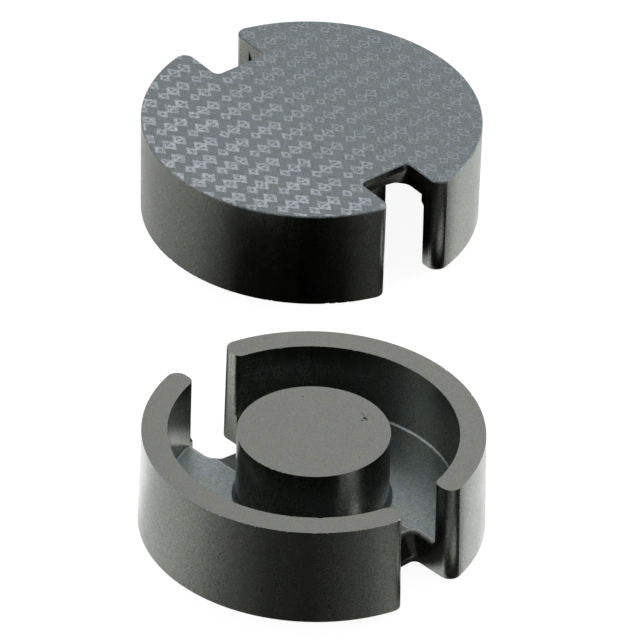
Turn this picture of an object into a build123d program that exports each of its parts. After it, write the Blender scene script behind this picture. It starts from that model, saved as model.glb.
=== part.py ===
from build123d import *
import os
from math import cos, hypot, radians, sin

# Ferrite pot core: two equal pressed and sintered halves, set out one behind the other on a
# table. The front half (-Y) lies on its back with the winding chamber open upwards. The rear
# half (+Y) is turned over and stands on its ground rim and centre post, back upwards. Closed
# up, rim to rim, the pair surrounds a coil bobbin, and the leads leave through the slots.
# Millimetres, +Z up. The origin is on the table, midway between the two halves.

# Skirt, the round outer wall
skirt_diameter = 30.0           # outside, at the back
skirt_taper = 0.15              # lost from the radius between the back and the rim
half_height = 9.4
chamber_diameter = 25.2

# Back, the plate that carries the skirt and the post
back_thickness = 2.8
back_edge_chamfer = 0.1         # all round the outer face, and along the notches

# Centre post
post_diameter = 13.3

# Chamfers left by the press tool round the floor of the winding chamber
skirt_foot_chamfer = 0.15
post_foot_chamfer = 0.3

# Lead slots: two, opposite each other, through the skirt and on into the back as notches
slot_width = 5.2
slots_per_half = 2
notch_span = 20.5               # from notch end to notch end, across the outer face
notch_corner_radius = 0.55

# The skirt's upright edges beside a slot are rounded, as shares of the rim's thickness
skirt_end_outer_share = 0.44
skirt_end_inner_share = 0.33

# Inside the skirt a notch widens towards the chamber, and its edge rolls over at the floor
notch_land = 0.7                # height of straight wall above the outer face
notch_draw_end = 1.15           # widening, from the land up to the floor
notch_draw_side = 0.35
notch_floor_corner_radius = 1.2
notch_roll_radius = 0.45

# Lead groove, a shallow vee in the chamber floor from the post's foot to each notch
groove_margin = 0.2             # the groove is wider than the slot by this much on each side
groove_depth = 0.7
groove_bend_radius = 1.0        # at its bottom and along its two sides

# Setting out of the pair
gap_between_halves = 16.9
rear_offset = 0.9               # the rear half stands this much nearer to -X
front_slot_angle = -46.0        # degrees from +X to one slot
rear_slot_angle = -51.1

skirt_radius = skirt_diameter / 2
rim_radius = skirt_radius - skirt_taper
chamber_radius = chamber_diameter / 2
post_radius = post_diameter / 2
rim_thickness = rim_radius - chamber_radius
skirt_end_outer_radius = skirt_end_outer_share * rim_thickness
skirt_end_inner_radius = skirt_end_inner_share * rim_thickness
notch_end = notch_span / 2
slot_half_width = slot_width / 2
groove_half_width = slot_half_width + groove_margin
half_spacing = (skirt_diameter + gap_between_halves) / 2
overrun = 1.0                   # how far a cutting tool passes what it cuts
touch = 0.001                   # two places this close are the same place


def turned_half():
    """The half without its slots: one section turned about the Z axis."""
    section = Plane.XZ * make_face(Polyline(
        (0, 0),
        (skirt_radius, 0),
        (rim_radius, half_height),
        (chamber_radius, half_height),
        (chamber_radius, back_thickness + skirt_foot_chamfer),
        (chamber_radius - skirt_foot_chamfer, back_thickness),
        (post_radius + post_foot_chamfer, back_thickness),
        (post_radius, back_thickness + post_foot_chamfer),
        (post_radius, half_height),
        (0, half_height),
        close=True,
    ))
    return revolve(section, Axis.Z)


def slot_outline(height, drawn=0.0):
    """A slot seen from above, running out along +X from its flat inner end.

    drawn is 0 for the notch at the outer face and 1 for the wider notch at the chamber floor.
    """
    inner_end = notch_end - drawn * notch_draw_end
    length = skirt_radius + overrun - inner_end
    width = slot_width + 2 * drawn * notch_draw_side
    corner_growth = notch_floor_corner_radius - notch_corner_radius
    outline = Pos(inner_end + length / 2, 0, height) * Rectangle(length, width)
    inner_corners = outline.vertices().sort_by(Axis.X)[:2]
    return fillet(inner_corners, notch_corner_radius + drawn * corner_growth)


def slot_tool():
    """Cuts one lead slot through the skirt, and its notch through the back."""
    return extrude(slot_outline(-overrun), half_height + 2 * overrun)


def notch_floor():
    """The back round one notch, with the notch's drawn walls and its lead groove.

    It runs on past the skirt, so that the edge to be rolled comes to a plain end out there.
    """
    section = make_face(Polyline(
        (-slot_width, 0),
        (slot_width, 0),
        (slot_width, back_thickness),
        (groove_half_width, back_thickness),
        (0, back_thickness - groove_depth),
        (-groove_half_width, back_thickness),
        (-slot_width, back_thickness),
        close=True,
    ))
    bends = section.vertices().filter_by(lambda corner: abs(corner.X) < slot_width - touch)
    plate = extrude(Plane.YZ * fillet(bends, groove_bend_radius), skirt_radius + overrun / 2)
    above_floor = (back_thickness + overrun - notch_land) / (back_thickness - notch_land)
    drawn = loft([
        slot_outline(notch_land),
        slot_outline(back_thickness + overrun, above_floor),
    ])
    return plate - slot_tool() - drawn


def rolled_edges(plate):
    """The edges where a notch's leaning walls meet the chamber floor and the groove."""
    chosen = ShapeList()
    for face in plate.faces():
        leaning = 0.05 < face.normal_at(face.center()).Z < 0.6
        if leaning:
            chosen += face.edges().filter_by(
                lambda edge: edge.center().Z > back_thickness - groove_depth - touch)
    return chosen


def notch_draw_tool():
    """Widens one notch towards the chamber, rolls its edge over and cuts its lead groove."""
    plate = notch_floor()
    rolled = fillet(rolled_edges(plate), notch_roll_radius)
    size = plate.bounding_box().size
    blank = Box(size.X, size.Y, back_thickness, align=(Align.MIN, Align.CENTER, Align.MIN))
    cut = blank - rolled
    above = extrude(cut.faces().sort_by(Axis.Z)[-1], overrun)
    chamber = Circle(chamber_radius) - Circle(post_radius + post_foot_chamfer)
    return (cut + above) & extrude(Pos(0, 0, notch_land) * chamber, half_height)


def skirt_end_edges(half, radius_low, radius_high):
    """The upright edges where the slots cut the skirt, between two distances from the axis."""
    chosen = ShapeList()
    for edge in half.edges():
        middle = edge.center()
        beside_slot = abs(abs(middle.Y) - slot_half_width) < touch
        at_radius = radius_low - touch < hypot(middle.X, middle.Y) < radius_high + touch
        if beside_slot and at_radius and edge.bounding_box().size.Z > half_height / 2:
            chosen.append(edge)
    return chosen


def core_half():
    """One half, back down, with its slots along X and its axis on Z."""
    half = turned_half()
    for turn in PolarLocations(0, slots_per_half):
        half -= turn * slot_tool()
    half = fillet(skirt_end_edges(half, rim_radius, skirt_radius), skirt_end_outer_radius)
    half = fillet(skirt_end_edges(half, chamber_radius, chamber_radius), skirt_end_inner_radius)
    back_outline = half.faces().sort_by(Axis.Z)[0].outer_wire().edges()
    half = chamfer(back_outline, back_edge_chamfer)
    for turn in PolarLocations(0, slots_per_half):
        half -= turn * notch_draw_tool()
    return half


half = core_half()
front = Pos(rear_offset / 2, -half_spacing) * Rot(0, 0, front_slot_angle)
turned_over = Pos(0, 0, half_height) * Rot(180, 0, 0)
rear = Pos(-rear_offset / 2, half_spacing) * Rot(0, 0, rear_slot_angle) * turned_over

os.makedirs("parts", exist_ok=True)
export_step(front * half, "parts/front_core_half.step")
export_step(rear * half, "parts/rear_core_half.step")
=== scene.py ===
import math

import bmesh
import bpy
import numpy as np
from bpy.props import FloatProperty, FloatVectorProperty, IntProperty, PointerProperty
from mathutils import Matrix, Vector


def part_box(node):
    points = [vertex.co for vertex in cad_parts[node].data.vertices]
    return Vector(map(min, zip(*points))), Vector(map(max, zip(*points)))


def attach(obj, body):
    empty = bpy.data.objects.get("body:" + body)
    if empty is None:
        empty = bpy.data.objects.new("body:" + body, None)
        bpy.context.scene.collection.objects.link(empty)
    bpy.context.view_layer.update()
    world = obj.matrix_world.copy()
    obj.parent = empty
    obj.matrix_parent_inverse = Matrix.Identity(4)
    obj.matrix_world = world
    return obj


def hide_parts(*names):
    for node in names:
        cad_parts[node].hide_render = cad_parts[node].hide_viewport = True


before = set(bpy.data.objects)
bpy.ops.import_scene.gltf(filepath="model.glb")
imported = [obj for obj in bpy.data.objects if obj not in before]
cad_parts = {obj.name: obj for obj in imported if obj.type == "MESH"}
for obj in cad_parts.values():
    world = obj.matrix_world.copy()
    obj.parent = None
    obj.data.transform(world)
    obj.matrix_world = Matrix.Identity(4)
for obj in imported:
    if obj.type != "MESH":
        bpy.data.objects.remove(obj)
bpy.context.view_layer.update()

bl_info = {
    "name": "Ferrite pot core",
    "version": (1, 0, 0),
    "blender": (4, 5, 0),
    "location": "View3D > Sidebar > Pot core",
    "description": "Finishes the two halves of a ferrite pot core and sets them on a table",
    "category": "Object",
}

FRONT, REAR = "front_core_half", "rear_core_half"
MM = 0.001
SAME_POINT = 1e-7               # metres: vertices this close are one vertex
FLAT = math.radians(0.3)        # facets that turn by less than this lie in one plane
SHARP = math.radians(24)        # edges that turn by more than this are edges of the form


# ---------------------------------------------------------------------------------------------
# Sizes and colours that a user may change


class FerriteFinish(bpy.types.PropertyGroup):
    """The fired ferrite: its skin, its ground faces and its small damage."""

    # The walls' colour is painted about ten times darker than the same skin on the back: painted
    # shade
    shaded_wall_colour: FloatVectorProperty(
        name="Wall colour", description="Pressed skin on the upright walls",
        subtype="COLOR", default=(0.0040, 0.0040, 0.0028), min=0, max=1)
    wall_sheen: FloatVectorProperty(
        name="Wall sheen", description="Tint of what the upright walls mirror",
        subtype="COLOR", default=(0.94, 1.0, 0.89), min=0, max=1)
    skin_colour: FloatVectorProperty(
        name="Skin colour", description="Pressed skin on the back and in the chamber",
        subtype="COLOR", default=(0.038, 0.046, 0.050), min=0, max=1)
    skin_sheen: FloatVectorProperty(
        name="Skin sheen", description="Tint of what the back mirrors",
        subtype="COLOR", default=(0.61, 0.71, 0.735), min=0, max=1)
    chamber_sheen: FloatVectorProperty(
        name="Chamber sheen", description="Tint of what the chamber floor mirrors",
        subtype="COLOR", default=(0.98, 1.12, 1.11), min=0, max=2)
    # Pale specks: real wear on the edge of the back, and a painted glint on the roll of each notch
    worn_edge_and_glint_colour: FloatVectorProperty(
        name="Worn edge colour", description="Pale specks along a worn edge",
        subtype="COLOR", default=(0.26, 0.27, 0.27), min=0, max=1)
    ground_colour: FloatVectorProperty(
        name="Ground colour", description="The ground rim and the ground post face",
        subtype="COLOR", default=(0.056, 0.056, 0.049), min=0, max=1)
    ground_sheen: FloatVectorProperty(
        name="Ground sheen", description="Tint of what the ground faces mirror",
        subtype="COLOR", default=(0.87, 0.89, 0.84), min=0, max=1)
    # Paler than fresh ferrite: partly the fracture's own colour, partly a painted glint
    fracture_and_glint_colour: FloatVectorProperty(
        name="Fracture colour", description="Fresh ferrite in a chip",
        subtype="COLOR", default=(0.50, 0.50, 0.48), min=0, max=1)
    gloss_index: FloatProperty(
        name="Index of refraction", description="Sets how strongly the ferrite mirrors",
        default=2.2, min=1.0, max=3.0)
    chamber_index: FloatProperty(
        name="Chamber index", description="Index of refraction of the skin on the chamber floor",
        default=2.45, min=1.0, max=4.0)
    edge_rounding: FloatProperty(
        name="Edge rounding", description="Width of the worn band along every sharp edge",
        unit="LENGTH", precision=6, default=0.035 * MM, min=0)
    chips_per_edge: IntProperty(
        name="Chips on each edge", description="Small chips spread along each round edge",
        default=16, min=0, max=60)
    chip_size: FloatProperty(
        name="Chip size", description="Mean half length of a small chip",
        unit="LENGTH", precision=6, default=0.11 * MM, min=0)


class BackPrint(bpy.types.PropertyGroup):
    """The repeated pale ornament on the rear half's back: a small lozenge and two barred ones."""

    ink_colour: FloatVectorProperty(
        name="Ink colour", description="Pale ink where it is thick",
        subtype="COLOR", default=(0.42, 0.44, 0.48), min=0, max=1)
    line_direction: FloatProperty(
        name="Line direction", description="Way the lines of ornament run, from +X",
        subtype="ANGLE", default=math.radians(44))
    repeat_along: FloatProperty(
        name="Repeat along", description="From one ornament to the next on its line",
        unit="LENGTH", precision=5, default=3.90 * MM, min=0.1 * MM)
    line_spacing: FloatProperty(
        name="Line spacing", description="From one line of ornaments to the next",
        unit="LENGTH", precision=5, default=1.95 * MM, min=0.1 * MM)
    stroke: FloatProperty(
        name="Stroke", description="Width of a printed stroke where the ink is thin",
        unit="LENGTH", precision=5, default=0.16 * MM, min=0)
    heavy_stroke: FloatProperty(
        name="Heavy stroke", description="Further width where the ink is thick",
        unit="LENGTH", precision=5, default=0.19 * MM, min=0)


class StudioStage(bpy.types.PropertyGroup):
    """The table, the lamps and the camera."""

    floor_colour: FloatVectorProperty(
        name="Floor colour", description="What the table gives back of the lamps' light",
        subtype="COLOR", default=(0.2, 0.2, 0.2), min=0, max=1)
    floor_size: FloatProperty(
        name="Floor size", description="Side of the square table top",
        unit="LENGTH", default=1.6, min=0.1)
    left_light: FloatProperty(
        name="Left softbox", description="Radiance of the left softbox", default=2.5, min=0)
    right_light: FloatProperty(
        name="Right softbox", description="Radiance of the right softbox", default=3.0, min=0)
    glint_light: FloatProperty(
        name="Glint softbox", description="Radiance of the small lamp above the right",
        default=15.0, min=0)
    back_light: FloatProperty(
        name="Back softbox", description="Radiance of the softbox behind", default=0.95, min=0)
    sky_light: FloatProperty(
        name="Surroundings", description="Radiance of the room above and behind", default=0.62,
        min=0)
    front_light: FloatProperty(
        name="Room in front", description="Radiance of the room low down in front", default=0.10,
        min=0)
    camera_distance: FloatProperty(
        name="Camera distance", description="From the aimed point", unit="LENGTH", default=2.0)
    camera_elevation: FloatProperty(
        name="Camera elevation", description="Above the table", subtype="ANGLE",
        default=math.radians(35.52))
    camera_roll: FloatProperty(
        name="Camera roll", description="Turn about the line of sight", subtype="ANGLE",
        default=math.radians(-1.52))
    view_width: FloatProperty(
        name="View width", description="Width that the view takes in at the aimed point",
        unit="LENGTH", precision=5, default=55.86 * MM)


# ---------------------------------------------------------------------------------------------
# Node graphs


class Graph:
    """Adds nodes to one node tree. An input may be a value or another node's output."""

    def __init__(self, tree):
        self.tree = tree
        tree.nodes.clear()

    def add(self, kind, inputs=None, **settings):
        """A new node, with its settings made before its inputs are filled."""
        node = self.tree.nodes.new(kind)
        for name, value in settings.items():
            setattr(node, name, value)
        for name, value in (inputs or {}).items():
            socket = node.inputs[name]
            if isinstance(value, bpy.types.NodeSocket):
                self.tree.links.new(value, socket)
            else:
                socket.default_value = value
        return node

    def math(self, operation, *values):
        """One step of arithmetic on numbers."""
        node = self.add("ShaderNodeMath", dict(enumerate(values)), operation=operation)
        return node.outputs["Value"]

    def vector(self, operation, *values, **inputs):
        """One step of arithmetic on vectors. LENGTH and DISTANCE give a number."""
        inputs.update(enumerate(values))
        node = self.add("ShaderNodeVectorMath", inputs, operation=operation)
        return node.outputs["Value" if operation in ("LENGTH", "DISTANCE") else "Vector"]

    def axes(self, place):
        """The X, the Y and the Z of a place."""
        node = self.add("ShaderNodeSeparateXYZ", {"Vector": place})
        return node.outputs["X"], node.outputs["Y"], node.outputs["Z"]

    def between(self, value, low, high, to_low=0.0, to_high=1.0):
        """A smooth step from to_low to to_high as value goes from low to high."""
        node = self.add("ShaderNodeMapRange", {
            "Value": value, "From Min": low, "From Max": high,
            "To Min": to_low, "To Max": to_high,
        }, interpolation_type="SMOOTHSTEP")
        return node.outputs["Result"]

    def profile(self, value, stops):
        """Straight lines through stops, each a pair of value and result, in rising order."""
        low, high = stops[0][0], stops[-1][0]
        top = max(level for at, level in stops)
        share = self.add("ShaderNodeMapRange", {"Value": value, "From Min": low, "From Max": high})
        node = self.add("ShaderNodeValToRGB", {"Fac": share.outputs["Result"]})
        points = node.color_ramp.elements
        for at, level in stops[1:-1]:
            points.new((at - low) / (high - low))
        for point, (at, level) in zip(points, stops):
            point.position = (at - low) / (high - low)
            point.color = (level / top, level / top, level / top, 1)
        return self.math("MULTIPLY", node.outputs["Color"], top)

    def blend(self, first, share, second):
        """The number first times share, and second times what is left of 1."""
        return self.math("ADD", self.math("MULTIPLY", first, share),
                         self.math("MULTIPLY", second, 1 - share))

    def mix(self, share, first, second, blend_type="MIX"):
        """Two colours, of which share says how much of the second is taken."""
        node = self.add("ShaderNodeMix", {0: share, 6: first, 7: second},
                        data_type="RGBA", blend_type=blend_type)
        return node.outputs[2]

    def millimetres(self, stretch=(1, 1, 1), turn=0.0):
        """The object's own coordinates in mm, scaled by stretch and turned about the Z axis."""
        place = self.add("ShaderNodeTexCoord").outputs["Object"]
        scale = [s / MM for s in stretch]
        node = self.add("ShaderNodeMapping", {
            "Vector": place, "Scale": scale, "Rotation": (0, 0, turn),
        })
        return node.outputs["Vector"]

    def noise(self, place, per_mm, detail=2.0, roughness=0.5):
        """Soft noise about 0.5, with per_mm swells in each millimetre."""
        node = self.add("ShaderNodeTexNoise", {
            "Vector": place, "Scale": per_mm, "Detail": detail, "Roughness": roughness,
        })
        return node.outputs["Fac"]


def rgba(colour, factor=1.0):
    """A colour made lighter or darker by a factor, with an alpha of 1."""
    return (*[c * factor for c in colour], 1.0)


def new_material(name):
    """An empty material, with the graph that fills it."""
    material = bpy.data.materials.new(name)
    material.use_nodes = True
    return material, Graph(material.node_tree)


def finish_material(graph, index, colour, roughness, sheen, height, relief):
    """Ends a ferrite material: a glossy dielectric, of the index given, over the colour.

    sheen tints what the surface mirrors, and height times relief, in mm, is the bump.
    """
    bump = graph.add("ShaderNodeBump", {
        "Height": height, "Distance": relief * MM, "Strength": 1.0,
    })
    shader = graph.add("ShaderNodeBsdfPrincipled", {
        "Base Color": colour, "Roughness": roughness, "IOR": index,
        "Specular Tint": sheen, "Normal": bump.outputs["Normal"],
    })
    graph.add("ShaderNodeOutputMaterial", {"Surface": shader.outputs["BSDF"]})


def cloud_and_grain(graph):
    """Two noises of a fired skin: clouds some 2 mm wide, and grain of a tenth of that."""
    place = graph.millimetres()
    cloud = graph.noise(place, 0.5, detail=3)
    grain = graph.noise(place, 7.0, detail=3, roughness=0.6)
    return place, cloud, grain


def speckled(graph, place, tint, strength):
    """A tint that changes from grain to grain, by up to strength, and a little in hue."""
    fine = graph.noise(place, 8.0, detail=1, roughness=0.8)
    swing = graph.math("MULTIPLY_ADD", graph.between(fine, 0.36, 0.64, -1, 1), strength, 1.0)
    shade = graph.vector("SCALE", tint, Scale=swing)
    patches = graph.between(graph.noise(place, 1.3, detail=3), 0.4, 0.6)
    hue = graph.mix(patches, (1.03, 1.0, 0.95, 1), (0.97, 1.0, 1.04, 1))
    return graph.mix(1.0, shade, hue, blend_type="MULTIPLY")


def wall_material(finish):
    """Upright pressed walls: fine grain, faint upright lines left by the press die, and painted
    shade.
    """
    material, graph = new_material("ferrite_wall")
    place, cloud, grain = cloud_and_grain(graph)
    drag = graph.noise(graph.millimetres((1, 1, 0.03)), 2.6, detail=4, roughness=0.65)
    shade = graph.blend(drag, 0.45, grain)
    # Painted shade: the wall colour is far darker than the skin's own colour
    colour = graph.mix(
        graph.between(shade, 0.3, 0.7),
        rgba(finish.shaded_wall_colour, 0.2), rgba(finish.shaded_wall_colour, 2.2))
    roughness = graph.math("ADD", graph.between(shade, 0.25, 0.75, 0.22, 0.30),
                           graph.between(cloud, 0.3, 0.7, -0.02, 0.03))
    streaks = graph.between(drag, 0.3, 0.7, 0.10, 0.50)
    sheen = speckled(graph, place, finish.wall_sheen, streaks)
    finish_material(graph, finish.gloss_index, colour, roughness, sheen, shade, 0.012)
    return material


def chamber_material(finish):
    """The chamber floor and other level skin: cooler, with light and dark grains."""
    material, graph = new_material("ferrite_chamber_skin")
    place, cloud, grain = cloud_and_grain(graph)
    specks = graph.noise(place, 4.0, detail=2, roughness=0.7)
    share = graph.blend(specks, 0.6, cloud)
    colour = graph.mix(
        graph.between(share, 0.36, 0.64),
        rgba(finish.skin_colour, 0.3), rgba(finish.skin_colour, 1.1))
    roughness = graph.between(grain, 0.3, 0.7, 0.36, 0.48)
    sheen = speckled(graph, place, finish.chamber_sheen, 0.28)
    finish_material(graph, finish.chamber_index, colour, roughness, sheen, grain, 0.010)
    return material


def ground_material(finish):
    """The ground rim and post face: even, mottled, with faint grinding lines, and pits painted
    dark as the shade in them.
    """
    material, graph = new_material("ferrite_ground")
    place, _, grain = cloud_and_grain(graph)
    lines = graph.noise(graph.millimetres((0.05, 1, 1), math.radians(17)), 9.0, detail=3)
    mottle = graph.blend(grain, 0.7, lines)
    pits = graph.add("ShaderNodeTexVoronoi", {"Vector": place, "Scale": 1.4, "Randomness": 1.0})
    keep = graph.math("GREATER_THAN", graph.noise(place, 1.1, detail=1), 0.56)
    pit = graph.math("MULTIPLY", graph.between(pits.outputs["Distance"], 0.09, 0.04), keep)
    even = graph.mix(
        graph.between(mottle, 0.32, 0.68),
        rgba(finish.ground_colour, 0.78), rgba(finish.ground_colour, 1.25))
    # Painted shade: the pits are darkened in colour
    colour = graph.mix(graph.math("MULTIPLY", pit, 0.75), even, rgba(finish.ground_colour, 0.25))
    roughness = graph.math("ADD", graph.between(mottle, 0.3, 0.7, 0.43, 0.53),
                           graph.math("MULTIPLY", pit, 0.2))
    height = graph.math("SUBTRACT", mottle, graph.math("MULTIPLY", pit, 2.0))
    sheen = speckled(graph, place, finish.ground_sheen, 0.22)
    finish_material(graph, finish.gloss_index, colour, roughness, sheen, height, 0.008)
    return material


def worn_edge_and_glint_material(finish):
    """The worn edge of the back, and the roll of each notch, where the pale specks are a painted
    glint: dark skin with many pale specks.
    """
    material, graph = new_material("ferrite_worn_edge_and_painted_glint")
    place, cloud, grain = cloud_and_grain(graph)
    specks = graph.noise(place, 5.0, detail=3, roughness=0.8)
    share = graph.math("ADD", specks, graph.between(cloud, 0.3, 0.7, -0.08, 0.06))
    colour = graph.mix(graph.between(share, 0.46, 0.60), rgba(finish.skin_colour, 1.5),
                       rgba(finish.worn_edge_and_glint_colour))
    roughness = graph.between(grain, 0.3, 0.7, 0.40, 0.60)
    sheen = speckled(graph, place, finish.skin_sheen, 0.3)
    finish_material(graph, finish.gloss_index, colour, roughness, sheen, specks, 0.02)
    return material


def fracture_material(finish):
    """A fresh chip: pale, partly its own colour and partly a painted glint, with lighter crystal
    faces painted as glitter.
    """
    material, graph = new_material("ferrite_fracture")
    faces = graph.add("ShaderNodeTexVoronoi", {"Vector": graph.millimetres(), "Scale": 14.0})
    shade = graph.add("ShaderNodeSeparateColor", {"Color": faces.outputs["Color"]}).outputs[0]
    # Painted glint and glitter: lighter and darker crystal faces
    colour = graph.mix(shade, rgba(finish.fracture_and_glint_colour, 0.6), rgba(finish.fracture_and_glint_colour, 1.5))
    roughness = graph.between(shade, 0, 1, 0.25, 0.5)
    finish_material(graph, finish.gloss_index, colour, roughness, (1, 1, 1, 1), shade, 0.02)
    return material


# The marks of the ornament, in mm: centre on the line, half width, half height, and if barred
MARKS = ((-0.10, 0.50, 0.68, True), (1.08, 0.50, 0.68, True), (-1.20, 0.36, 0.46, False))
THICK_INK_WAY = (-0.75, -0.66)      # the way in which the ink gets thicker, as X and Y


def lozenge(graph, along, across, centre, half_width, half_height, barred):
    """How far a point lies from the strokes of a lozenge, with a bar through it or not, in mm.

    |along - centre| / half_width + |across| / half_height is 1 on the outline. Less 1, times
    the height of the right triangle with those two sides, that is the distance to the outline.
    """
    sideways = graph.math("ABSOLUTE", graph.math("SUBTRACT", along, centre))
    upwards = graph.math("ABSOLUTE", across)
    ratio = graph.math("ADD", graph.math("DIVIDE", sideways, half_width),
                       graph.math("DIVIDE", upwards, half_height))
    slope = half_width * half_height / math.hypot(half_width, half_height)
    past = graph.math("SUBTRACT", ratio, 1.0)
    outline = graph.math("ABSOLUTE", graph.math("MULTIPLY", past, slope))
    if not barred:
        return outline
    bar = graph.math("MAXIMUM", upwards, graph.math("SUBTRACT", sideways, half_width))
    return graph.math("MINIMUM", outline, bar)


def printed_back_material(finish, pattern, centre):
    """The rear half's back: cool skin under a worn, pale, repeated ornament."""
    material, graph = new_material("ferrite_printed_back")
    place, cloud, grain = cloud_and_grain(graph)
    skin = graph.mix(
        graph.between(grain, 0.32, 0.68),
        rgba(finish.skin_colour, 0.75), rgba(finish.skin_colour, 1.25))

    # Along and across the lines of ornament, from the middle of each repeat, in mm. Every
    # line is shifted by half a repeat against the one before.
    far_along, far_across, _ = graph.axes(graph.millimetres(turn=-pattern.line_direction))
    repeat, spacing = pattern.repeat_along / MM, pattern.line_spacing / MM
    line = graph.math("DIVIDE", far_across, spacing)
    shifted = graph.math("MULTIPLY_ADD", graph.math("FLOOR", line), 0.5,
                         graph.math("DIVIDE", far_along, repeat))
    across, along = (
        graph.math("MULTIPLY", graph.math("SUBTRACT", graph.math("FRACT", count), 0.5), length)
        for count, length in ((line, spacing), (shifted, repeat)))

    # The ink comes and goes in patches, and is thickest at one side
    way_x, way_y = THICK_INK_WAY
    x, y, _ = graph.axes(place)
    slant = graph.math("MULTIPLY_ADD", x, way_x, graph.math("MULTIPLY", y, way_y))
    middle = (centre.x * way_x + centre.y * way_y) / MM
    load = graph.between(graph.math("MULTIPLY_ADD", cloud, 7.0, slant), middle - 6, middle + 18)

    marks = [lozenge(graph, along, across, *mark) for mark in MARKS]
    nearest = graph.math("MINIMUM", graph.math("MINIMUM", marks[0], marks[1]), marks[2])

    half_stroke = graph.math("MULTIPLY_ADD", load, pattern.heavy_stroke / 2 / MM,
                             pattern.stroke / 2 / MM)
    ragged = graph.math("MULTIPLY", graph.math("SUBTRACT", graph.noise(place, 7.0), 0.5), 0.20)
    margin = graph.math("ADD", graph.math("SUBTRACT", half_stroke, nearest), ragged)
    inked = graph.between(margin, -0.03, 0.06)
    worn = graph.between(graph.noise(place, 4.0, detail=3, roughness=0.85), 0.37, 0.60, 0.20, 1.0)
    cover = graph.math("MULTIPLY", graph.math("MULTIPLY", inked, worn),
                       graph.between(load, 0, 1, 0.36, 1.0))
    colour = graph.mix(cover, skin, rgba(pattern.ink_colour))
    roughness = graph.math("MULTIPLY_ADD", cover, 0.16, graph.between(grain, 0.3, 0.7, 0.36, 0.46))
    height = graph.math("MULTIPLY_ADD", cover, 1.4, grain)
    sheen = speckled(graph, place, finish.skin_sheen, 0.52)
    finish_material(graph, finish.gloss_index, colour, roughness, sheen, height, 0.008)
    return material


# ---------------------------------------------------------------------------------------------
# Meshes


def merged_copy(node_name):
    """A bmesh of one CAD node: doubles merged, and the triangles of each flat face joined."""
    half = bmesh.new()
    half.from_mesh(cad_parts[node_name].data)
    bmesh.ops.remove_doubles(half, verts=half.verts, dist=SAME_POINT)
    bmesh.ops.dissolve_limit(half, angle_limit=FLAT, verts=half.verts, edges=half.edges)
    return half


def round_edges(half, width):
    """Breaks every sharp edge with two narrow facets."""
    sharp = [edge for edge in half.edges if edge.calc_face_angle(0) > SHARP]
    bmesh.ops.bevel(half, geom=sharp, offset=width, offset_type="OFFSET", segments=2,
                    profile=0.5, affect="EDGES", clamp_overlap=True)


def chip_surfaces(centres, turns, sizes, seed, across=10, around=14):
    """Closed, ragged stones, one for each centre, as vertices and quads.

    A stone is a sphere on a grid of polar angle and azimuth. Its radius is one plus a few
    random waves round it, and it is stretched by sizes along the edge that it sits on,
    outwards and upwards, then turned about the Z axis by turns.
    """
    random = np.random.default_rng(seed)
    count = len(centres)
    polar = np.linspace(0, math.pi, across)[None, :, None]
    azimuth = np.linspace(0, 2 * math.pi, around, endpoint=False)[None, None, :]
    radius = np.ones((count, across, around))
    for waves in (2, 3, 5):
        phase, tilt = random.uniform(0, 2 * math.pi, (2, count, 1, 1))
        depth = random.uniform(0.05, 0.20, (count, 1, 1))
        fade = np.sin(polar)        # the waves die out at the poles, which stay single points
        radius += depth * fade * np.sin(waves * azimuth + phase) * np.cos(2 * polar + tilt)
    stone = np.stack([
        radius * np.sin(polar) * np.cos(azimuth),
        radius * np.sin(polar) * np.sin(azimuth),
        radius * np.cos(polar) * np.ones_like(azimuth),
    ], axis=-1) * np.asarray(sizes)[:, None, None, :]
    cos, sin = np.cos(turns)[:, None, None], np.sin(turns)[:, None, None]
    turned = np.stack([
        stone[..., 0] * cos - stone[..., 1] * sin,
        stone[..., 0] * sin + stone[..., 1] * cos,
        stone[..., 2],
    ], axis=-1)
    points = turned + np.asarray(centres)[:, None, None, :]
    index = np.arange(count * across * around).reshape(count, across, around)
    after = np.roll(index, -1, axis=2)
    quads = np.stack([index[:, :-1], index[:, 1:], after[:, 1:], after[:, :-1]], axis=-1)
    return points.reshape(-1, 3), quads.reshape(-1, 4)


def mesh_from_arrays(name, points, quads):
    """A mesh of the points, in metres, and of four-sided faces between them."""
    mesh = bpy.data.meshes.new(name)
    mesh.from_pydata(points.tolist(), [], quads.tolist())
    return mesh


def weld(mesh):
    """Merges doubles, which closes the poles, and makes all faces point outwards."""
    work = bmesh.new()
    work.from_mesh(mesh)
    bmesh.ops.remove_doubles(work, verts=work.verts, dist=SAME_POINT)
    bmesh.ops.recalc_face_normals(work, faces=work.faces)
    work.to_mesh(mesh)
    work.free()


def linked_object(name, data):
    """A new object in the scene, at the origin."""
    piece = bpy.data.objects.new(name, data)
    bpy.context.scene.collection.objects.link(piece)
    return piece


def apply_modifiers(piece):
    """Turns what the modifiers make into the piece's own mesh."""
    graph = bpy.context.evaluated_depsgraph_get()
    made = bpy.data.meshes.new_from_object(piece.evaluated_get(graph))
    spent = piece.data
    piece.modifiers.clear()
    piece.data = made
    bpy.data.meshes.remove(spent)


class Half:
    """Where one half stands, read from the frame, how it is turned, and the seed of its chips."""

    def __init__(self, node_name, slot_angle, rim_up, seed):
        low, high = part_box(node_name)
        self.node_name = node_name
        self.centre = (low + high) / 2
        self.radius = (high.x - low.x) / 2
        self.height = high.z - low.z
        self.rim_height = high.z if rim_up else low.z
        self.back_height = low.z if rim_up else high.z
        self.outward = 1 if rim_up else -1      # Z direction in which the rim faces
        self.floor_rise = 2.6 * MM              # just under the chamber floor, from the back
        self.slot_angle = math.radians(slot_angle)
        self.seed = seed

    def clear_of_slots(self, angles, margin):
        """Which of the angles lie further than margin from both slots."""
        turn = (angles - self.slot_angle + math.pi / 2) % math.pi - math.pi / 2
        return np.abs(turn) > margin


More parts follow.
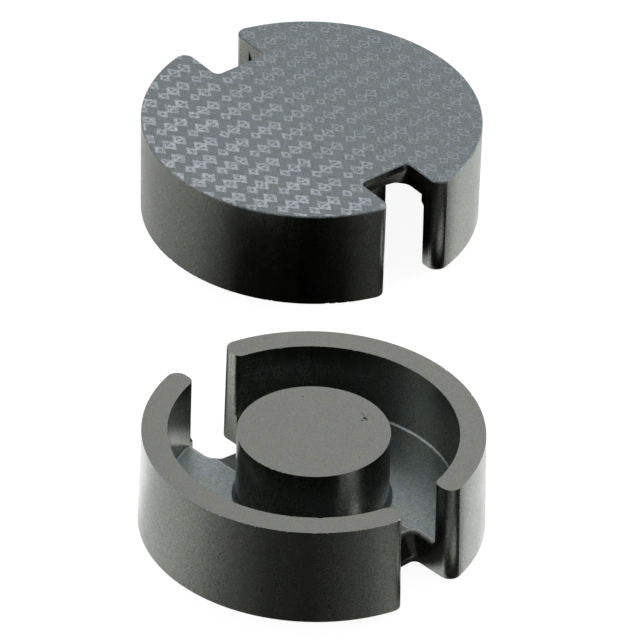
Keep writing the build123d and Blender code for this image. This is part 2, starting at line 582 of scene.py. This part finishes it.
# Radii within a half, as shares of its outer radius
RIM_OUTER = 14.85 / 15
CHAMBER = 12.6 / 15
POST = 6.65 / 15

# Chips
SLOT_MARGIN = math.radians(15)          # from a slot's middle, free of scattered chips
CHIP_SPREAD = 0.45                      # of the logarithm of a chip's length
CHIP_DEPTH = (0.45, 0.75)               # as shares of its half length
STONE_OUTSIDE = 0.35                    # from the edge to a stone's middle, of its depth


def edge_chips(half, share_of_radius, height, outward, finish, notable=()):
    """Places chips along one round edge: (centres, turns, sizes) of the stones that cut them.

    notable holds (angle in degrees, half length, way inwards in mm) of those that stand out.
    """
    random = np.random.default_rng(half.seed + round(1000 * share_of_radius))
    angles = random.uniform(-math.pi, math.pi, finish.chips_per_edge)
    angles = angles[half.clear_of_slots(angles, SLOT_MARGIN)]
    lengths = finish.chip_size * random.lognormal(0, CHIP_SPREAD, len(angles))
    extra = np.array(notable, dtype=float).reshape(-1, 3)
    inset = np.append(np.zeros(len(angles)), extra[:, 2] * MM)
    angles = np.append(angles, np.radians(extra[:, 0]))
    lengths = np.append(lengths, extra[:, 1] * MM)
    deep = random.uniform(*CHIP_DEPTH, (2, len(angles))) * lengths
    side = -1 if share_of_radius == CHAMBER else 1
    reach = half.radius * share_of_radius + side * (STONE_OUTSIDE * deep[0] - inset)
    centres = np.stack([
        half.centre.x + reach * np.cos(angles),
        half.centre.y + reach * np.sin(angles),
        height + outward * STONE_OUTSIDE * deep[1],
    ], axis=-1)
    return centres, angles, np.stack([deep[0], lengths, deep[1]], axis=-1)


def face_pits(half, pits):
    """Places pits in the ground face from (x, y, half width, half length) in mm from the axis."""
    x, y, width, length = np.array(pits, dtype=float).T * MM
    level = np.full(len(x), half.rim_height)
    centres = np.stack([half.centre.x + x, half.centre.y + y, level], axis=-1)
    turns = np.linspace(0.2, 1.1, len(x))
    return centres, turns, np.stack([width, length, width], axis=-1)


def chip_cutter(half, name, groups, material):
    """One mesh object of the stones in all the groups."""
    centres, turns, sizes = (np.concatenate(parts) for parts in zip(*groups))
    points, quads = chip_surfaces(centres, turns, sizes, half.seed)
    mesh = mesh_from_arrays(name, points, quads)
    weld(mesh)
    mesh.materials.append(material)
    return linked_object(name, mesh)


def cut_chips(piece, cutter):
    """Takes the stones away from the half; the cut faces keep the stones' material."""
    cut = piece.modifiers.new("chips", "BOOLEAN")
    cut.operation = "DIFFERENCE"
    cut.solver = "EXACT"
    cut.material_mode = "TRANSFER"
    cut.use_self = True         # stones may overlap one another
    cut.object = cutter
    apply_modifiers(piece)
    spent = cutter.data
    bpy.data.objects.remove(cutter)
    bpy.data.meshes.remove(spent)


def smooth_with_sharp_edges(piece):
    """Smooth shading on round walls, with each flat face keeping its own direction."""
    piece.data.shade_smooth()
    piece.data.set_sharp_from_angle(angle=SHARP)
    weighted = piece.modifiers.new("weighted_normals", "WEIGHTED_NORMAL")
    weighted.keep_sharp = True
    apply_modifiers(piece)


def read_vectors(items, name):
    """One vector of each item, such as a vertex's place, as the rows of an array."""
    values = np.empty(len(items) * 3, dtype=np.float32)
    items.foreach_get(name, values)
    return values.reshape(-1, 3)


def read_counts(items, name):
    """One whole number of each item, as an array."""
    values = np.empty(len(items), dtype=np.int32)
    items.foreach_get(name, values)
    return values


WALL_WITHIN, WALL_BEYOND = 0.06 * MM, 0.03 * MM     # how far a wall's faces lie off its radius
UPRIGHT, LEVEL = 0.995, 0.99999                     # shares of a face's direction


def true_round_normals(half, piece):
    """Gives the round walls the directions of the true cone or cylinder.

    At azimuth a the direction is (cos a, sin a, slope), outwards on the skirt and the post and
    inwards on the chamber's wall. A level face keeps the Z axis. The slope is the skirt's taper.
    """
    mesh = piece.data
    points = read_vectors(mesh.vertices, "co")
    normals = read_vectors(mesh.corner_normals, "vector")
    flat = read_vectors(mesh.polygons, "normal")
    middles = read_vectors(mesh.polygons, "center")
    corner = read_counts(mesh.loops, "vertex_index")
    owner = np.repeat(np.arange(len(flat)), read_counts(mesh.polygons, "loop_total"))

    centre = np.array(half.centre)[:2]
    outwards = middles[:, :2] - centre
    reach = np.linalg.norm(outwards, axis=1)
    facing = (flat[:, :2] * outwards).sum(axis=1) / np.maximum(reach, SAME_POINT)
    radial = points[corner, :2] - centre
    radial /= np.maximum(np.linalg.norm(radial, axis=1, keepdims=True), SAME_POINT)
    slope = half.outward * (1 - RIM_OUTER) * half.radius / half.height
    for inner, outer, sign, tilt in (
        (RIM_OUTER, 1.0, 1, slope), (CHAMBER, CHAMBER, -1, 0), (POST, POST, 1, 0),
    ):
        low, high = inner * half.radius - WALL_WITHIN, outer * half.radius + WALL_BEYOND
        wall = (reach > low) & (reach < high) & (facing * sign > UPRIGHT)
        chosen = wall[owner]
        normals[chosen, :2] = sign * radial[chosen]
        normals[chosen, 2] = tilt
    level = (np.abs(flat[:, 2]) > LEVEL)[owner]
    normals[level] = flat[owner[level]]
    normals /= np.linalg.norm(normals, axis=1, keepdims=True)
    mesh.normals_split_custom_set(normals.tolist())


WALL, CHAMBER_SKIN, GROUND, BACK, EDGE = range(5)   # the finishes of a half, in their order
SAME_HEIGHT = 0.02 * MM                             # within which a face lies at a height
BACK_EDGE = 0.12 * MM                               # height of the worn band round the back


def face_finishes(half, mesh):
    """Gives each face its finish, by the way it faces, its height and its distance to the axis.

    upwards is 1 on a face that looks the way the rim does, 0 on a wall and -1 on the back.
    """
    middles = read_vectors(mesh.polygons, "center")
    upwards = read_vectors(mesh.polygons, "normal")[:, 2] * half.outward
    reach = np.hypot(middles[:, 0] - half.centre.x, middles[:, 1] - half.centre.y)
    rise = np.abs(middles[:, 2] - half.back_height)
    at_rim = np.abs(middles[:, 2] - half.rim_height) < SAME_HEIGHT
    inside = reach < half.radius * CHAMBER
    finishes = np.select([
        (upwards > 0.9) & at_rim,
        (upwards < -0.9) & (rise < SAME_HEIGHT),
        (upwards < -0.1) & (rise < BACK_EDGE),
        # The roll of each notch: its pale specks are a painted glint
        (upwards > 0.75) & (upwards < 0.995) & inside & (rise > half.floor_rise),
        (upwards > 0.5) & inside,
    ], [GROUND, BACK, EDGE, EDGE, CHAMBER_SKIN], WALL)
    mesh.polygons.foreach_set("material_index", finishes.astype(np.int32))


def make_half(half, name, groups, pits, back_material, finish):
    """Dresses one half: merged copy, broken edges, finishes, chips and pits."""
    work = merged_copy(half.node_name)
    round_edges(work, finish.edge_rounding)
    mesh = bpy.data.meshes.new(name)
    work.to_mesh(mesh)
    work.free()
    for material in (shared("wall"), shared("chamber"), shared("ground"), back_material,
                     shared("edge")):
        mesh.materials.append(material)
    face_finishes(half, mesh)
    piece = linked_object(name, mesh)
    cut_chips(piece, chip_cutter(half, name + "_chips", groups, shared("fracture")))
    if pits:
        holes = [face_pits(half, pits)]
        cut_chips(piece, chip_cutter(half, name + "_pits", holes, shared("wall")))
    smooth_with_sharp_edges(piece)
    true_round_normals(half, piece)
    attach(piece, "root")
    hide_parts(half.node_name)


def shared(finish_name):
    """The material of one finish, made once and used on both halves."""
    name, maker = {
        "wall": ("ferrite_wall", wall_material),
        "chamber": ("ferrite_chamber_skin", chamber_material),
        "ground": ("ferrite_ground", ground_material),
        "edge": ("ferrite_worn_edge_and_painted_glint", worn_edge_and_glint_material),
        "fracture": ("ferrite_fracture", fracture_material),
    }[finish_name]
    return bpy.data.materials.get(name) or maker(bpy.context.scene.pot_core_finish)


# ---------------------------------------------------------------------------------------------
# Operators

# The chips that stand out on the front half's rim and on both halves' backs and feet, each as
# its angle in degrees, its half length in mm, and how far it lies inwards of the edge in mm
FRONT_RIM_CHIPS = (
    (-127.4, 0.26, 0), (-122.1, 0.20, 0), (-97.9, 0.24, 0), (-100.5, 0.15, 0),
    (-65.0, 0.20, 0), (-63.2, 0.26, 0), (-61.3, 0.16, 0), (-58.2, 0.32, 0.22),
    (-33.0, 0.24, 0), (-69.5, 0.15, 0), (-74.0, 0.18, 0), (-84.6, 0.14, 0),
    (-109.0, 0.18, 0), (-139.5, 0.2, 0), (-151.0, 0.16, 0), (24.0, 0.2, 0),
)
FRONT_BACK_CHIPS = ((-110, 0.2, 0), (-75, 0.16, 0))
REAR_BACK_CHIPS = (
    (-116, 0.22, 0), (-106, 0.26, 0), (-93, 0.16, 0), (-84, 0.18, 0), (-140, 0.2, 0),
    (-150, 0.16, 0), (-98, 0.14, 0),
)
REAR_RIM_CHIPS = ((-80, 0.18, 0),)

# The pits in the front post's face: (x, y) from its axis, half width and half length, in mm
POST_PITS = (
    (-1.03, 5.04, 0.08, 0.09), (4.38, 2.13, 0.15, 0.21), (4.16, 2.75, 0.07, 0.24),
    (4.14, 1.80, 0.10, 0.12), (4.55, 1.92, 0.08, 0.10), (-5.3, 3.9, 0.05, 0.07),
    (1.1, -4.9, 0.04, 0.06), (4.0, -3.6, 0.05, 0.05),
)


class POTCORE_OT_front_half(bpy.types.Operator):
    """Dresses the front half, which lies on its back with its chamber open"""

    bl_idname = "pot_core.front_half"
    bl_label = "Front half"

    def execute(self, context):
        finish = context.scene.pot_core_finish
        half = Half(FRONT, slot_angle=-46.0, rim_up=True, seed=11)
        rim, back = half.rim_height, half.back_height
        groups = [
            edge_chips(half, RIM_OUTER, rim, 1, finish, FRONT_RIM_CHIPS),
            edge_chips(half, CHAMBER, rim, 1, finish),
            edge_chips(half, POST, rim, 1, finish),
            edge_chips(half, 1.0, back, -1, finish, FRONT_BACK_CHIPS),
        ]
        plain_back = shared("chamber")
        make_half(half, "front_half_dressed", groups, POST_PITS, plain_back, finish)
        return {"FINISHED"}


class POTCORE_OT_rear_half(bpy.types.Operator):
    """Dresses the rear half, which stands on its rim with its printed back upwards"""

    bl_idname = "pot_core.rear_half"
    bl_label = "Rear half"

    def execute(self, context):
        scene = context.scene
        finish = scene.pot_core_finish
        half = Half(REAR, slot_angle=-51.1, rim_up=False, seed=29)
        rim, back = half.rim_height, half.back_height
        groups = [
            edge_chips(half, 1.0, back, 1, finish, REAR_BACK_CHIPS),
            edge_chips(half, RIM_OUTER, rim, -1, finish, REAR_RIM_CHIPS),
            edge_chips(half, CHAMBER, rim, -1, finish),
            edge_chips(half, POST, rim, -1, finish),
        ]
        printed_back = printed_back_material(finish, scene.pot_core_print, half.centre)
        make_half(half, "rear_half_dressed", groups, (), printed_back, finish)
        return {"FINISHED"}


# Each softbox: its place, its width and its height, in metres
SOFTBOXES = {
    "left": ((-0.155, -0.005, 0.11), 0.10, 0.10),
    "right": ((0.16, 0.07, 0.055), 0.14, 0.11),
    "back": ((0.0, 0.22, 0.17), 0.30, 0.20),
    "glint": ((0.12, 0.09, 0.20), 0.05, 0.05),
}


class POTCORE_OT_stage(bpy.types.Operator):
    """Makes the table, the softboxes, the white surroundings and the camera"""

    bl_idname = "pot_core.stage"
    bl_label = "Studio stage"

    def execute(self, context):
        stage = context.scene.pot_core_stage
        make_floor(stage)
        make_surroundings(context.scene, stage)
        for side, (place, width, height) in SOFTBOXES.items():
            softbox(side + "_softbox", place, width, height, getattr(stage, side + "_light"))
        make_camera(context.scene, stage)
        context.scene.view_settings.view_transform = "Standard"
        return {"FINISHED"}


def make_floor(stage):
    """A square table top, a grid of one flat surface: z is 0 for every x and y."""
    steps = np.linspace(-0.5, 0.5, 3) * stage.floor_size
    x, y = np.meshgrid(steps, steps)
    points = np.stack([x.ravel(), y.ravel(), np.zeros(x.size)], axis=-1)
    index = np.arange(x.size).reshape(x.shape)
    quads = np.stack([index[:-1, :-1], index[:-1, 1:], index[1:, 1:], index[1:, :-1]], axis=-1)
    mesh = mesh_from_arrays("table_top", points, quads.reshape(-1, 4))
    mesh.materials.append(floor_material(stage))
    linked_object("table_top", mesh)


# A painted reflection: the table glows for glossy rays only, and the round walls mirror it. Pairs
# of direction, in degrees to the right of the way towards the camera, and radiance. The glow is
# dark in front, and bright to the right.
# A second profile for each half is taken from the focus of the strip where its bright right
# side starts, so that the start is sharp. The strip's azimuth is given in degrees.
FRONT_EDGE, REAR_EDGE = 58, 54
FRONT_LIGHT = (
    (-180, 1.4), (-124, 2.1), (-113, 1.4), (-104, 1.28), (-87, 1.24), (-74, 0.96), (-60, 0.52),
    (-46, 0.28), (-28, 0.11), (0, 0.07), (18, 0.14), (38, 0.32), (52, 0.72), (60, 0.42),
    (68, 0.08), (92, 0.05), (140, 0.1), (180, 1.4),
)
FRONT_RIGHT_LIGHT = (
    (-180, 0), (111, 0), (116, 0.4), (122, 1.75), (130, 1.8), (142, 1.65), (154, 1.6), (180, 0),
)
REAR_LIGHT = (
    (-180, 0.90), (-100, 0.78), (-86, 0.70), (-73, 0.56), (-60, 0.25), (-46, 0.02), (0, 0.0),
    (24, 0.02), (38, 0.14), (46, 0.20), (54, 0.12), (64, 0.02), (89, 0.01), (140, 0.1),
    (180, 0.90),
)
REAR_RIGHT_LIGHT = (
    (-180, 0), (104, 0), (111, 1.1), (118, 1.7), (127, 1.5), (135, 1.3), (150, 1.1), (180, 0),
)

# Small spots of painted glow on the table, seen by glossy rays only, in mm from each axis: the
# rounded end left of the notch mirrors them as a painted highlight
FRONT_SPOT, REAR_SPOT = (16.0, -12.2), (14.6, -13.2)
SPOT_LIGHT = 1.0
SPOT_SIZE = (7.6, 4.8)                  # its width and depth, in mm


def plan_of(node_name):
    """The middle of one half on the table and its radius, in mm."""
    low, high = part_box(node_name)
    middle = (low + high) / 2 / MM
    return middle.x, middle.y, (high.x - low.x) / 2 / MM


def seen_from_focus(graph, place, node_name, azimuth=0):
    """The direction, in degrees, and the distance, in mm, of a table point from a wall's focus.

    A round mirror of radius R gathers level rays from the camera's side. Those that meet its
    strip at an azimuth a turn away at 2 a, as if from a line R cos(a) / 2 behind the strip. So
    each direction from there is what one upright strip of wall shows.
    """
    x, y, radius = plan_of(node_name)
    turn = math.radians(azimuth)
    back = radius / 2 * math.cos(turn)
    focus = (x + radius * math.sin(turn) - back * math.sin(2 * turn),
             y - radius * math.cos(turn) + back * math.cos(2 * turn), 0)
    offset = graph.vector("SUBTRACT", place, focus)
    rightwards, backwards, _ = graph.axes(offset)
    direction = graph.math("ARCTAN2", rightwards, graph.math("MULTIPLY", backwards, -1.0))
    return graph.math("MULTIPLY", direction, 180 / math.pi), graph.vector("LENGTH", offset)


def spot_light(graph, place, node_name, spot):
    """A soft oval of painted glow on the table, which the gloss mirrors, at a spot given from the
    axis of one half.
    """
    x, y, _ = plan_of(node_name)
    offset = graph.vector("SUBTRACT", place, (x + spot[0], y + spot[1], 0))
    width, depth = SPOT_SIZE
    scaled = graph.vector("MULTIPLY", offset, (2 / width, 2 / depth, 0))
    return graph.between(graph.vector("LENGTH", scaled), 0.5, 1.2, SPOT_LIGHT, 0)


def wall_light(graph, place, node_name, profile, edge, right_profile):
    """The radiance of the two profiles of one half, and the distance from its first focus."""
    around, away = seen_from_focus(graph, place, node_name)
    around_edge, _ = seen_from_focus(graph, place, node_name, edge)
    light = graph.math("ADD", graph.profile(around, profile),
                       graph.profile(around_edge, right_profile))
    return light, away


def table_light(graph, place):
    """The painted glow that the object's gloss finds on the table: the profiles and the spots.

    Near the rear half its own profile holds, and the front half's holds everywhere else. Under the
    rear half the glow is painted dark, as a painted shadow.
    """
    front, _ = wall_light(graph, place, FRONT, FRONT_LIGHT, FRONT_EDGE, FRONT_RIGHT_LIGHT)
    rear, to_rear = wall_light(graph, place, REAR, REAR_LIGHT, REAR_EDGE, REAR_RIGHT_LIGHT)
    nearness = graph.between(to_rear, 25, 34, 1, 0)
    light = graph.math("ADD", graph.math("MULTIPLY", rear, nearness),
                       graph.math("MULTIPLY", front, graph.math("SUBTRACT", 1.0, nearness)))
    x, y, _ = plan_of(REAR)
    reach = graph.vector("DISTANCE", place, (x, y, 0))
    # Painted shadow: the glow fades to almost nothing under the rear half
    light = graph.math("MULTIPLY", light, graph.between(reach, 10.2, 13.6, 0.02, 1))
    for node_name, spot in ((FRONT, FRONT_SPOT), (REAR, REAR_SPOT)):
        light = graph.math("ADD", light, spot_light(graph, place, node_name, spot))
    return light


def floor_material(stage):
    """Pale table top: white to the camera, with the object's shadow kept near it.

    For glossy rays only, the table glows with table_light, a painted reflection that the object's
    gloss finds on it.
    """
    material, graph = new_material("studio_floor")
    place = graph.millimetres()
    ray = graph.add("ShaderNodeLightPath")
    far = graph.between(graph.vector("LENGTH", place), 60, 160)
    white = graph.between(far, 0, 1, 0.93, 1.0)
    seen = graph.math("MULTIPLY", ray.outputs["Is Camera Ray"], white)
    # Painted reflection: the table glows for glossy rays only
    mirrored = graph.math("MULTIPLY", ray.outputs["Is Glossy Ray"], table_light(graph, place))
    glow = graph.add("ShaderNodeEmission", {
        "Color": (1, 1, 1, 1), "Strength": graph.math("ADD", seen, mirrored),
    })
    lit = graph.add("ShaderNodeBsdfDiffuse", {"Color": rgba(stage.floor_colour)})
    none = graph.add("ShaderNodeEmission", {"Strength": 0.0})
    unlit = graph.math("MAXIMUM", far, ray.outputs["Is Glossy Ray"])
    fading = graph.add("ShaderNodeMixShader", {0: unlit, 1: lit.outputs[0], 2: none.outputs[0]})
    both = graph.add("ShaderNodeAddShader", {0: glow.outputs[0], 1: fading.outputs[0]})
    graph.add("ShaderNodeOutputMaterial", {"Surface": both.outputs[0]})
    return material


def make_surroundings(scene, stage):
    """White to the camera. Otherwise pale behind and above, and darker low down in front."""
    world = bpy.data.worlds.new("studio_surroundings")
    world.use_nodes = True
    scene.world = world
    graph = Graph(world.node_tree)
    ray = graph.add("ShaderNodeLightPath")
    _, backwards, upwards = graph.axes(graph.add("ShaderNodeTexCoord").outputs["Generated"])
    height = graph.math("MULTIPLY", upwards, 0.6)
    behind = graph.between(graph.math("ADD", backwards, height), -0.05, 0.90,
                           stage.front_light, stage.sky_light)
    room = graph.add("ShaderNodeBackground", {"Color": (1, 1, 1, 1), "Strength": behind})
    white = graph.add("ShaderNodeBackground", {"Color": (1, 1, 1, 1), "Strength": 1.0})
    choice = graph.add("ShaderNodeMixShader", {
        0: ray.outputs["Is Camera Ray"], 1: room.outputs[0], 2: white.outputs[0],
    })
    graph.add("ShaderNodeOutputWorld", {"Surface": choice.outputs[0]})


def softbox(name, place, width, height, radiance):
    """A soft rectangular lamp that faces the middle of the pair."""
    lamp = bpy.data.lights.new(name, "AREA")
    lamp.shape = "RECTANGLE"
    lamp.size, lamp.size_y = width, height
    lamp.energy = radiance * math.pi * width * height
    holder = linked_object(name, lamp)
    holder.location = place
    way = Vector((0, 0, 4 * MM)) - Vector(place)
    holder.rotation_euler = way.to_track_quat("-Z", "Y").to_euler()


CAMERA_AIM = (0.73, 6.24, 0.0)          # the aimed point, in mm


def make_camera(scene, stage):
    """A long lens that looks along +Y and down, rolled a little about its line of sight."""
    sight = stage.camera_elevation
    up = Vector((0, math.sin(sight), math.cos(sight)))
    back = Vector((0, -math.cos(sight), math.sin(sight)))
    across = Vector((1, 0, 0))
    roll = stage.camera_roll
    right_axis = math.cos(roll) * across - math.sin(roll) * up
    up_axis = math.sin(roll) * across + math.cos(roll) * up
    data = bpy.data.cameras.new("studio_camera")
    data.sensor_width = 36.0
    data.lens = data.sensor_width * stage.camera_distance / stage.view_width
    data.clip_start, data.clip_end = 0.1, 20.0
    camera = linked_object("studio_camera", data)
    place = Vector(CAMERA_AIM) * MM + back * stage.camera_distance
    turn = Matrix((right_axis, up_axis, back)).transposed()
    camera.matrix_world = Matrix.Translation(place) @ turn.to_4x4()
    scene.camera = camera


class POTCORE_PT_panel(bpy.types.Panel):
    """Lists the settings and the operators of the pot core"""

    bl_label = "Pot core"
    bl_idname = "POTCORE_PT_panel"
    bl_space_type = "VIEW_3D"
    bl_region_type = "UI"
    bl_category = "Pot core"

    def draw(self, context):
        scene = context.scene
        for title, group in (
            ("Ferrite", scene.pot_core_finish),
            ("Print", scene.pot_core_print),
            ("Stage", scene.pot_core_stage),
        ):
            box = self.layout.box()
            box.label(text=title)
            for name in group.bl_rna.properties.keys():
                if name not in ("rna_type", "name"):
                    box.prop(group, name)
        for operator in STEPS:
            self.layout.operator(operator.bl_idname)


STEPS = (POTCORE_OT_stage, POTCORE_OT_front_half, POTCORE_OT_rear_half)
GROUPS = (FerriteFinish, BackPrint, StudioStage)
CLASSES = (*GROUPS, *STEPS, POTCORE_PT_panel)


def register():
    for entry in CLASSES:
        bpy.utils.register_class(entry)
    bpy.types.Scene.pot_core_finish = PointerProperty(type=FerriteFinish)
    bpy.types.Scene.pot_core_print = PointerProperty(type=BackPrint)
    bpy.types.Scene.pot_core_stage = PointerProperty(type=StudioStage)


def unregister():
    del bpy.types.Scene.pot_core_stage
    del bpy.types.Scene.pot_core_print
    del bpy.types.Scene.pot_core_finish
    for entry in reversed(CLASSES):
        bpy.utils.unregister_class(entry)


def main():
    register()
    bpy.ops.pot_core.stage()
    bpy.ops.pot_core.front_half()
    bpy.ops.pot_core.rear_half()


if __name__ == "__main__":
    main()
